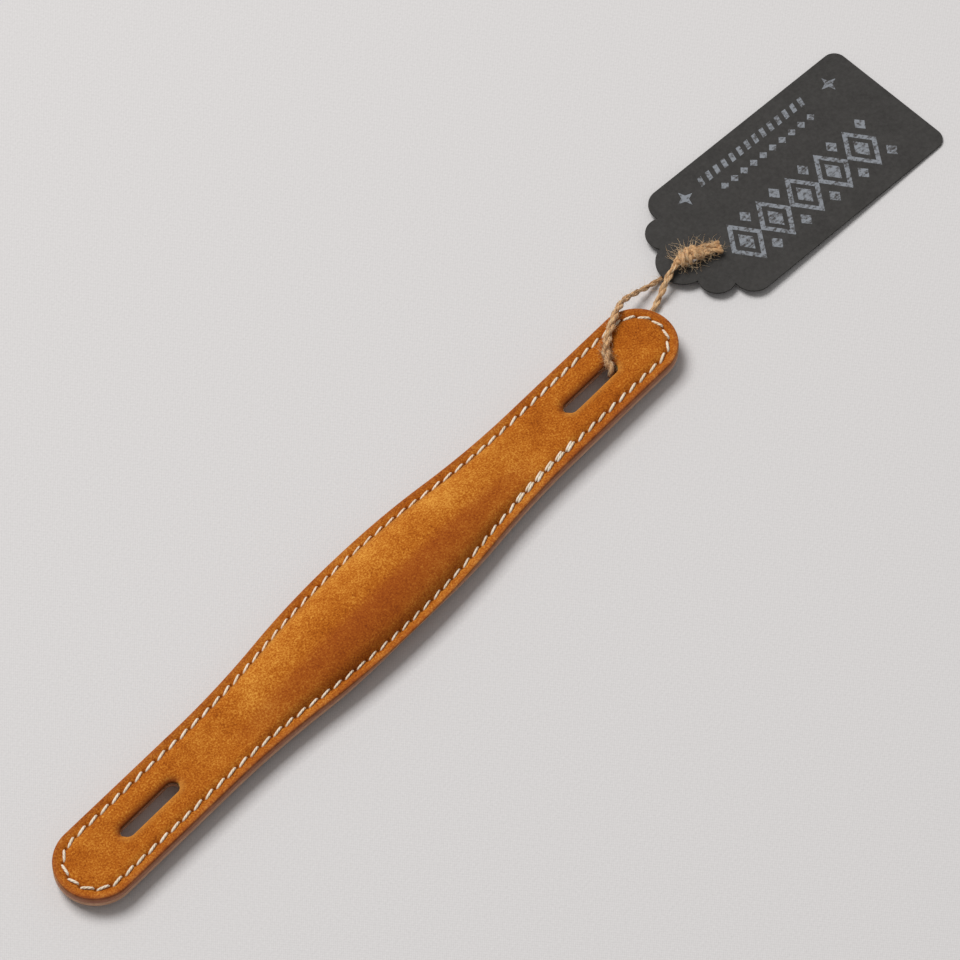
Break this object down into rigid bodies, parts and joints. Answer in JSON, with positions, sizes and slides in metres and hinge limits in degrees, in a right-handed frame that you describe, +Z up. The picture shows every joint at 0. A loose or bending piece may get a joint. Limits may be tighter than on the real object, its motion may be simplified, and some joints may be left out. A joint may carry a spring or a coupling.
{
  "type": "padded carrying strap",
  "caption": "Padded leather carrying strap with a screw slot in each tab, sewn in layers round a spring strip, with a card hang tag on a twine loop.",
  "frame": {"origin": "under the middle of the strap, on the surface that its padded belly rests on", "axes": "+X along the strap towards the tab that carries the hang tag, +Y across it, +Z up out of the suede side"},
  "size_m": [0.3617, 0.052, 0.0124],
  "materials": {
    "cover_suede": "brushed tan suede with a short nap, edges burnished brown",
    "filler_leather": "vegetable-tanned middle layer, burnished edge",
    "backing_leather": "smooth tan backing leather",
    "spring_steel": "blued spring steel",
    "pad_felt": "dense wool felt",
    "seam_thread": "waxed cream three-ply thread",
    "jute_twine": "hairy two-ply jute",
    "tag_card": "uncoated charcoal card, grey print"
  },
  "bodies": {
    "tab_a": {"top_cover_tab_a": "cover_suede", "filler_tab_a": "filler_leather", "backing_tab_a": "backing_leather", "spring_strip_tab_a": "spring_steel", "needle_thread_tab_a": "seam_thread", "bobbin_thread_tab_a": "seam_thread"},
    "grip_a": {"top_cover_grip_a": "cover_suede", "filler_grip_a": "filler_leather", "backing_grip_a": "backing_leather", "spring_strip_grip_a": "spring_steel", "needle_thread_grip_a": "seam_thread", "bobbin_thread_grip_a": "seam_thread", "top_pad_grip_a": "pad_felt", "bottom_pad_grip_a": "pad_felt"},
    "grip_b": {"top_cover_grip_b": "cover_suede", "filler_grip_b": "filler_leather", "backing_grip_b": "backing_leather", "spring_strip_grip_b": "spring_steel", "needle_thread_grip_b": "seam_thread", "bobbin_thread_grip_b": "seam_thread", "top_pad_grip_b": "pad_felt", "bottom_pad_grip_b": "pad_felt", "backtack_thread_grip_b": "seam_thread"},
    "tab_b": {"top_cover_tab_b": "cover_suede", "filler_tab_b": "filler_leather", "backing_tab_b": "backing_leather", "spring_strip_tab_b": "spring_steel", "needle_thread_tab_b": "seam_thread", "bobbin_thread_tab_b": "seam_thread", "backtack_thread_tab_b": "seam_thread", "twine_loop": "jute_twine", "twine_knot": "jute_twine", "twine_tails": "jute_twine"},
    "hang_tag": {"hang_tag": "tag_card"}
  },
  "joints": [
    {"name": "bow_at_tab_a", "type": "hinge", "parent": "tab_a", "child": "grip_a", "pos_m": [-0.062, 0, 0.0085], "axis": [0, -1, 0], "range_deg": [0, 25], "stiffness_Nm_per_rad": 1.9},
    {"name": "bow_at_middle", "type": "hinge", "parent": "grip_a", "child": "grip_b", "pos_m": [0, 0, -0.0001], "axis": [0, 1, 0], "range_deg": [0, 50], "stiffness_Nm_per_rad": 1.9},
    {"name": "bow_at_tab_b", "type": "hinge", "parent": "grip_b", "child": "tab_b", "pos_m": [0.062, 0, 0.0085], "axis": [0, -1, 0], "range_deg": [0, 25], "stiffness_Nm_per_rad": 1.9},
    {"name": "tag_swivel", "type": "hinge", "parent": "tab_b", "child": "hang_tag", "pos_m": [0.1486, 0.0102, 0.0023], "axis": [0.0218, -0.0015, 0.9998], "range_deg": [-25, 25]}
  ],
  "couplings": [
    {"joint": "bow_at_middle", "follows": "bow_at_tab_a", "ratio": 2},
    {"joint": "bow_at_tab_b", "follows": "bow_at_tab_a", "ratio": 1}
  ]
}
